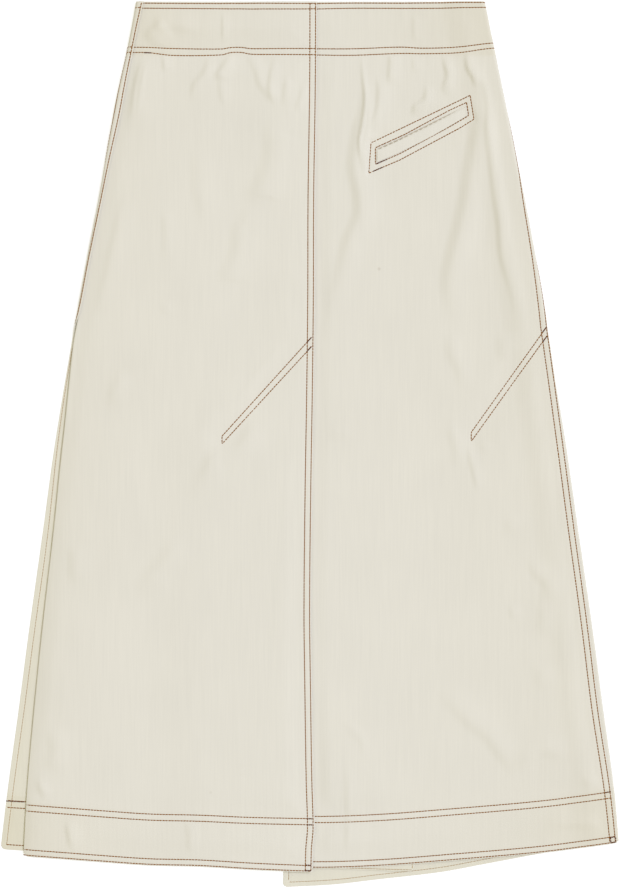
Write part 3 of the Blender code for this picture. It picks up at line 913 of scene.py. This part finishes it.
WELT = ((68.0, 150.9), (158.9, 106.9), (160.4, 115.6), (68.0, 163.6))
WELT_SIZE = (100.0, 12.0)  # roughly, for its rounded edges
WELT_CLOTH = 0.6
WELT_ROUND = 0.35  # over this far from its edges its thickness rounds off
WELT_GAP = 0.05
WELT_BOW = 2.6  # how far its lower edge bows down
WELT_DIPS = Ramp(0, 0.25)  # share of its width over which it comes up out of the opening
WELT_SUNK = 0.4  # how deep it lies in there, as a share of the opening's depth
MOUTH_WIDTH = 0.65  # of the strip of painted shade in the opening
MOUTH_SQUARE = (0.44, 0.9)  # direction square to the opening
MOUTH_SHOWS = 0.97  # share of the opening's length, tapering at both ends
MOUTH_TAPERS = (Ramp(0, 0.03), Ramp(0, 0.35))
MOUTH_RAISED = 0.12
MOUTH_HALF = 0.04  # half the thickness of that strip


def bunched_both(share):
    """Steps that bunch up towards both ends."""
    return share - 0.13 * np.sin(2 * math.pi * share)


def lay_on(panel, name, flat, drop, lift, half, finish):
    """A strip of cloth whose middle lies this high above the middle of a panel's cloth."""
    out = facing(panel, flat, drop)
    middle = surface(panel, flat, drop) + out * lift[..., None]
    return shell(name, middle, out, half, (finish,), np.zeros_like(half))


def make_welt(panel, columns=60, rows=14):
    across = bunched_both(np.linspace(0, 1, columns + 1))[None, :]
    down_share = bunched_both(np.linspace(0, 1, rows + 1))[:, None]
    (ax, ay), (bx, by), (cx, cy), (dx, dy) = WELT
    flat = mix(mix(ax, bx, across), mix(dx, cx, across), down_share)
    drop = mix(mix(ay, by, across), mix(dy, cy, across), down_share)
    drop = drop + bow(across, mix(POCKET_BOW, WELT_BOW, down_share))
    raised = CLOTH / 2 + WELT_GAP + WELT_CLOTH / 2
    sunk = mix(MOUTH_DIP.depth * WELT_SUNK, 0.0, ease(down_share, WELT_DIPS))
    inside = np.minimum(np.minimum(across, 1 - across) * WELT_SIZE[0],
                        np.minimum(down_share, 1 - down_share) * WELT_SIZE[1])
    half = WELT_CLOTH / 2 * rounded(inside, WELT_ROUND)
    return lay_on(panel, "pocket_welt_cloth", flat, drop, raised - sunk, half, right_side)


def make_painted_opening_shade(panel, columns=60, rows=4):
    """A thin strip coloured deep between the lip and the welt: painted shade in the pocket's opening."""
    (x0, y0), (x1, y1) = POCKET_MOUTH
    share = np.linspace(0.0, 1.0, columns + 1)[None, :]
    side = np.linspace(-1.0, 1.0, rows + 1)[:, None]
    wide = MOUTH_WIDTH / 2 * ease(share, MOUTH_TAPERS[0]) * ease(1.0 - share, MOUTH_TAPERS[1])
    along = mix(0.0, MOUTH_SHOWS, share)
    flat = mix(x0, x1, along) + side * wide * MOUTH_SQUARE[0]
    drop = mix(y0, y1, along) + side * wide * MOUTH_SQUARE[1] + bow(share, POCKET_BOW)
    lift = np.full_like(flat, CLOTH / 2 + MOUTH_RAISED)
    half = np.zeros_like(flat)
    half[1:-1, 1:-1] = MOUTH_HALF
    return lay_on(panel, "pocket_opening_cloth", flat, drop, lift, half, mouth_painted_shade)


# Painted shade: a deep copy of the twill's colour, laid as a thin strip in the pocket's opening.
mouth_painted_shade = twill("shaded_pocket_cloth", (0.53, 0.46, 0.35))
opening = make_painted_opening_shade(back_right)
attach(opening, "root")
welt = make_welt(back_right)
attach(welt, "root")
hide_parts("pocket_welt")


# ---- Back left panel --------------------------------------
# The left half of the back, of the same twill and laid right side up. Its centre edge is folded
# under and lapped over the back right panel, sewn as far as the back vent. At the left its edge
# folds in over the front left panel's lap, soft and thick where the side vent is open.

BACK_LEFT_HEM = table(
    "across drop",
    (-292, 869.2), (-254, 872), (-213, 875.3), (-163, 878.8), (-112, 879.8), (-61, 882.9), (5, 885.8),
)
BACK_LEFT_FACING = table(  # the facing's free edge, which runs level at the lap
    "across drop", *BACK_LEFT_HEM[:-2], (-61, 882), (5, 883.4))
LAP_ROWS = (1.3, 7.0)  # rows down the centre lap, in from its folded edge
Shoulder = namedtuple("Shoulder", "height rise flat tail")
SHOULDER = Shoulder(1.7, 4.5, 14.0, 60.0)  # swell of the cloth inside the open left fold
SHOULDER_STARTS = Ramp(16, 220)  # drops, from the vent's top
NEAR_LEFT_FOLD = Ramp(0, 40)  # across, from the fold's axis
OVER_UNDERLAP = Ramp(-75, 62)  # and from the edge of the back right panel's underlap
FOLD_SETTLES = 0.3  # how much closer the open fold lies on the flap below it
LEFT_SEAM = 2.0  # what a sewn seam takes beyond the fold
OFF_FOLD = Ramp(2, 14)  # across, from the left fold or the centre lap's edge


def back_left_lie(flat, drop):
    axis, radius, _ = left_fold(drop)
    top = level(1) + 2 * radius - FOLD_SETTLES * (1 - curl(drop))
    past = np.maximum(axis - flat, 0.0)
    reach, height = turn(past, radius, top, -1)
    beside_fold = 1 - ease(flat - axis, NEAR_LEFT_FOLD)
    under_edge = back_lap_edge(drop) - underlap(drop, BACK_VENT_DROP)
    over_underlap = ease(flat - under_edge, OVER_UNDERLAP)
    inward = np.maximum(flat - axis, 0.0)
    shoulder = ((1 - np.exp(-inward / SHOULDER.rise)) * ease(drop - LEFT_VENT_DROP, SHOULDER_STARTS)
                * np.exp(-(np.maximum(inward - SHOULDER.flat, 0.0) / SHOULDER.tail) ** 2))
    rest = mix(level(2), top, beside_fold) + PLY * over_underlap + SHOULDER.height * shoulder
    return np.where(flat < axis, axis - reach, flat), np.where(flat < axis, height, rest)


def back_left_guides(drop):
    axis, radius, _ = left_fold(drop)
    turned, edge = axis - math.pi * radius, back_lap_edge(drop)
    end = turned - (underlap(drop, LEFT_VENT_DROP) - SEAM_UNDER + LEFT_SEAM)
    return [end, turned, axis, axis + 16, edge - 12, edge]


def back_left_loose(flat, drop):
    """1 over open cloth, easing to 0 at the left fold and near the centre lap."""
    return ease(flat - left_axis(drop), OFF_FOLD) * ease(back_lap_edge(drop) - flat, OFF_FOLD)


CENTRE_ROWS_END = 884.4
past_left_fold = off(left_axis, -2.0)
centre_end = off(back_lap_edge, -ROW_STOPS)
back_left_rows = (
    [Row(1, down(off(back_lap_edge, -inset), ROW_TOP, CENTRE_ROWS_END)) for inset in LAP_ROWS]
    + vent_rows(1, (2.0, 341.0), (-89.4, 442.0), 7.9)
    + waist_rows(1, left_axis, off(back_lap_edge, -0.3))
    + hem_rows(1, BACK_LEFT_HEM, past_left_fold, centre_end, HEM_ROWS[:2])
    + hem_rows(1, BACK_LEFT_FACING, past_left_fold, centre_end, HEM_ROWS[2:])
)
BACK_LEFT_CREASES = creases(
    (0.7, 1.5, 4, (-166, 54), (-173.6, 87.3), (-176.4, 119.5)),
    (0.7, 1.5, 4, (-171, 54), (-179.6, 88), (-182.4, 119.5)),
    (1.9, 9, 16, (-172, 50), (-178, 78), (-184, 104), (-189, 134)),
    (1, 2, 6, (-151.5, 50), (-149.8, 64), (-148.9, 72.1)),
    (1.9, 3.4, 8, (-79, 50), (-89.1, 64.5), (-94.8, 73), (-97, 80)),
    (0.7, 2.6, 7, (-93.9, 74), (-92.5, 88), (-91, 98.6), (-86.2, 106.3)),
    (1.4, 3, 8, (-103, 52), (-109, 72.1), (-118.5, 83.5), (-123.3, 100.6)),
    (1, 3, 8, (-68, 50), (-56.8, 70.2), (-53, 83.5), (-45.5, 94.9), (-41.6, 104.3)),
    (1.4, 2.6, 7, (-36, 52), (-41.6, 77.8), (-41.6, 94.9), (-35.9, 106.3)),
    (0.9, 2.2, 6, (-24.5, 77.8), (-26.4, 87.3), (-28.4, 107.2)),
    (0.9, 2.5, 6, (-6.5, 81.6), (-11.3, 98.6), (-16, 112)),
    (1.6, 8, 16, (-30.2, 113.9), (-41.6, 131), (-43.5, 150), (-47.3, 167), (-53, 182), (-60.6, 197),
     (-58.7, 212.5)),
    (1.4, 7, 16, (-67.2, 205), (-68.2, 220), (-76.8, 232), (-78.6, 254), (-89.1, 277), (-91, 288.5)),
    (0.9, 6, 14, (-121.3, 144.2), (-117.6, 167), (-117.6, 190), (-113.8, 207), (-110.9, 239.2)),
    (0.6, 3, 8, (-150.8, 212.5), (-148.9, 231.6), (-148.9, 267.7)),
    (1.2, 4.5, 12, (-189.7, 189.8), (-195.4, 211), (-199.2, 232), (-204.9, 254), (-207.8, 271),
     (-215.3, 302), (-219, 320)),
    (0.5, 3.5, 7, (-150.6, 305.6), (-150, 312), (-149.8, 318.8)),
    (1.2, 5, 11, (-187.3, 375.3), (-200.3, 390.5), (-205.7, 412.2)),
    (0.6, 2.5, 6, (-24.5, 342.7), (-44, 362.2), (-65.8, 390.5), (-89.6, 418.7)),
    (1.6, 5.5, 13, (-33.3, 416.5), (-59.3, 429.6), (-74.4, 449), (-98.3, 458), (-107, 473), (-115.7, 484),
     (-133, 492.4)),
    (1.5, 6, 14, (-141.7, 542.4), (-146, 559.7), (-159, 573), (-167.7, 584), (-180.7, 596.6)),
    (1.2, 5, 12, (-243.7, 551), (-243, 572), (-243.7, 594)),
    (1.4, 6, 12, (-268.6, 738.8), (-263.2, 760.5), (-271.8, 777.9)),
    (1.7, 2, 6, (-282.7, 793), (-275.1, 801.8), (-267.6, 810.4)),
    (1.7, 1.5, 9, (-249, 834.3), (-246.3, 847.3), (-243.7, 864.6)),
    (0.9, 2.2, 8, (-126.5, 832.1), (-124.4, 847.3), (-124.4, 869)),
    (2, 5, 14, (-150, 17), (-160, 26), (-171, 38)),
    (1.4, 5, 12, (-160, 30), (-140, 28), (-112, 32)),
    (0.8, 1, 6, (-89.8, 9), (-89.5, 27), (-89.5, 43)),
)
back_left = Panel(
    "back_left_cloth", back_left_lie, back_left_guides, (3, 12, 10, 9, 110, 10, 3),
    BACK_LEFT_HEM, tucked(left_axis, Ramp(-4, 5.5)), back_left_loose, BACK_LEFT_CREASES,
    back_left_rows, sewn(back_left_rows), loft=0.9, corner=0.8, seed=53)

cloth, cut, area = make_panel(back_left, (right_side, wrong_side_and_shade))
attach(cloth, "root")
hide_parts("back_left_panel")


# ---- Topstitching -----------------------------------------
# Brown thread, a little thicker than the yarns. Every lap, facing and hem is topstitched with two
# rows of lock stitches by machine, and where a row ends at an edge it is sewn back over itself.

STITCH = 2.9  # length of one stitch
STITCH_GAP = 0.12  # to the next one, where the thread goes down through the cloth
STITCH_UNEVEN = 0.08  # how far one is out of its place along the row
THREAD_WIDTH = 1.06  # as it lies
THREAD_HALF = 0.32  # half its height
BOBBIN_WIDTH = 0.7
SIDES_ROUND = 5
RING_AT = (-0.5, -0.3, 0.3, 0.5)  # rings of points along a stitch, as shares of its length
RING_WIDTH = (0.65, 1.0, 1.0, 0.65)
RING_LIFT = (-0.16, 0.06, 0.06, -0.16)


def thread(name, *colour):
    return shader(name, Base_Color=(*colour, 1.0), Roughness=0.8, Specular_IOR_Level=0.15)[0]


brown_thread = thread("topstitch_thread", 0.25, 0.095, 0.01)
bobbin_thread = thread("bobbin_thread", 0.47, 0.34, 0.19)
doubled_thread = thread("back_tack_thread", 0.09, 0.02, 0.008)


def sew(name, sewings, finish, stitch=STITCH, width=THREAD_WIDTH, raised=0.0):
    """All the stitches of these rows as one piece. A sewing is a panel and a row on it."""
    points, faces = [], []
    jitter = np.random.default_rng(len(name))
    rings, sides = len(RING_AT), SIDES_ROUND
    around = np.arange(sides) * 2 * math.pi / sides + math.pi / 2
    quads = [(r * sides + s, r * sides + (s + 1) % sides, (r + 1) * sides + (s + 1) % sides,
              (r + 1) * sides + s) for r in range(rings - 1) for s in range(sides)]
    caps = [tuple(range(sides))[::-1], tuple((rings - 1) * sides + s for s in range(sides))]
    swell = np.array(RING_WIDTH)[:, None, None]
    lift = CLOTH / 2 - ROW_GROOVE.depth + raised + np.array(RING_LIFT)
    first = 0
    for panel, row in sewings:
        steps = np.hypot(*np.diff(row.path, axis=0).T)
        run = np.concatenate(((0.0,), np.cumsum(steps)))
        count = max(int((run[-1] + STITCH_GAP) / (stitch + STITCH_GAP)), 1)
        middle = (np.arange(count) + 0.5) * run[-1] / count
        middle = middle + jitter.uniform(-STITCH_UNEVEN, STITCH_UNEVEN, count)
        at = middle[:, None] + np.array(RING_AT) * stitch
        flat, drop = np.interp(at, run, row.path[:, 0]), np.interp(at, run, row.path[:, 1])
        out = facing(panel, flat, drop) * row.face
        base = surface(panel, flat, drop) + out * lift[:, None]
        aside = np.cross(out, np.gradient(base, axis=1))
        aside /= np.linalg.norm(aside, axis=-1, keepdims=True)
        ring = (base[:, :, None] + aside[:, :, None] * np.cos(around)[:, None] * width / 2 * swell
                + out[:, :, None] * np.sin(around)[:, None] * THREAD_HALF * swell)
        points.append(ring.reshape(-1, 3))
        for _ in range(count):
            faces += [tuple(first + corner for corner in face) for face in quads + caps]
            first += rings * sides
    piece = add_piece(name, np.concatenate(points), faces, (finish,))
    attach(piece, "root")


for panel in (back_left, back_right, front_left, front_right):
    sewings = [(panel, row) for row in panel.rows if not row.bobbin]
    sew(panel.name.replace("cloth", "stitches"), sewings, brown_thread)
for panel in (front_left, front_right):
    sewings = [(panel, row) for row in panel.rows if row.bobbin]
    sew(panel.name.replace("cloth", "bobbin_stitches"), sewings, bobbin_thread, width=BOBBIN_WIDTH)

TACKS = (  # the panel, its face and the two ends of a row sewn back over itself
    (back_right, 1, (67.4, 165.2), (78.8, 160.2)),
    (back_right, 1, (64.0, 172.8), (73.8, 168.5)),
    (back_right, 1, (240.4, 331.0), (236.0, 336.9)),
    (back_right, 1, (240.8, 340.4), (236.2, 346.8)),
    (back_left, 1, (1.6, 341.4), (-3.6, 347.4)),
    (back_left, 1, (1.4, 350.8), (-3.6, 356.6)),
    (back_left, 1, (-168.8, 52.0), (-161.7, 52.2)),
    (back_left, 1, (-3.5, 830.9), (2.6, 830.9)),
    (back_left, 1, (-3.5, 837.1), (2.6, 837.1)),
    (back_left, 1, (-4.6, 877.9), (1.4, 878.2)),
    (back_left, 1, (-5.6, 883.4), (1.4, 883.7)),
    (front_left, 1, (-309.5, 813.4), (-291.0, 814.4)),
    (front_left, -1, (-239.9, 330.0), (-240.4, 335.0)),
    (back_right, 1, (304.8, 850.0), (310.6, 849.1)),
    (back_right, 1, (305.2, 855.4), (310.9, 854.6)),
    (back_right, 1, (310.6, 849.4), (310.9, 854.6)),
    (back_right, 1, (305.3, 849.8), (305.8, 855.0)),
    (back_right, 1, (299.6, 804.4), (306.4, 803.2)),
)
TACK_STITCH = 1.6
TACK_WIDTH = 1.2
TACK_RAISED = 0.2  # it lies on the stitches of the row
sewings = [(panel, Row(face, straight(*ends))) for panel, face, *ends in TACKS]
sew("back_tacks", sewings, doubled_thread, TACK_STITCH, TACK_WIDTH, TACK_RAISED)


# ---- Floor, light and camera ------------------------------
# The skirt lies on a white light table that glows a little, so it throws no shadow there. Broad soft
# light comes from all over, and some of it from a large lamp high on the right. The camera looks
# straight down on its middle.

table_white, _ = shader(
    "white_light_table", Base_Color=(0.4, 0.4, 0.4, 1.0), Roughness=1.0, Specular_IOR_Level=0.0,
    Emission_Color=(1.0, 1.0, 1.0, 1.0), Emission_Strength=0.68)
FLOOR_BELOW = 0.3  # a hair's breadth under the lowest cloth
bpy.ops.mesh.primitive_plane_add(size=20.0, location=(0, 0, -FLOOR_BELOW * MM))
floor = bpy.context.object
floor.name = "floor"
floor.data.materials.append(table_white)

world = bpy.data.worlds.new("studio")
world.use_nodes = True
plug(world.node_tree.nodes["Background"], Color=(1.0, 0.955, 0.70, 1.0), Strength=0.64)
bpy.context.scene.world = world

ELEVATION, BEARING = math.radians(60), math.radians(22)  # of the lamp, the bearing from the right
light = bpy.data.lights.new("lamp", "SUN")
light.energy = 1.69
light.color = (1.0, 1.065, 1.424)
light.angle = math.radians(30)
lamp = add_object("lamp", light)
lamp.rotation_euler = (0.0, math.pi / 2 - ELEVATION, BEARING)

LENS, SENSOR = 100.0, 36.0
view = bpy.data.cameras.new("overhead")
view.lens, view.sensor_width, view.sensor_fit = LENS, SENSOR, "AUTO"
view.clip_start, view.clip_end = 0.1, 20.0
camera = add_object("overhead", view)
camera.location = (0.0005, 0.0, 2.5125)
bpy.context.scene.camera = camera
bpy.context.scene.view_settings.view_transform = "Standard"
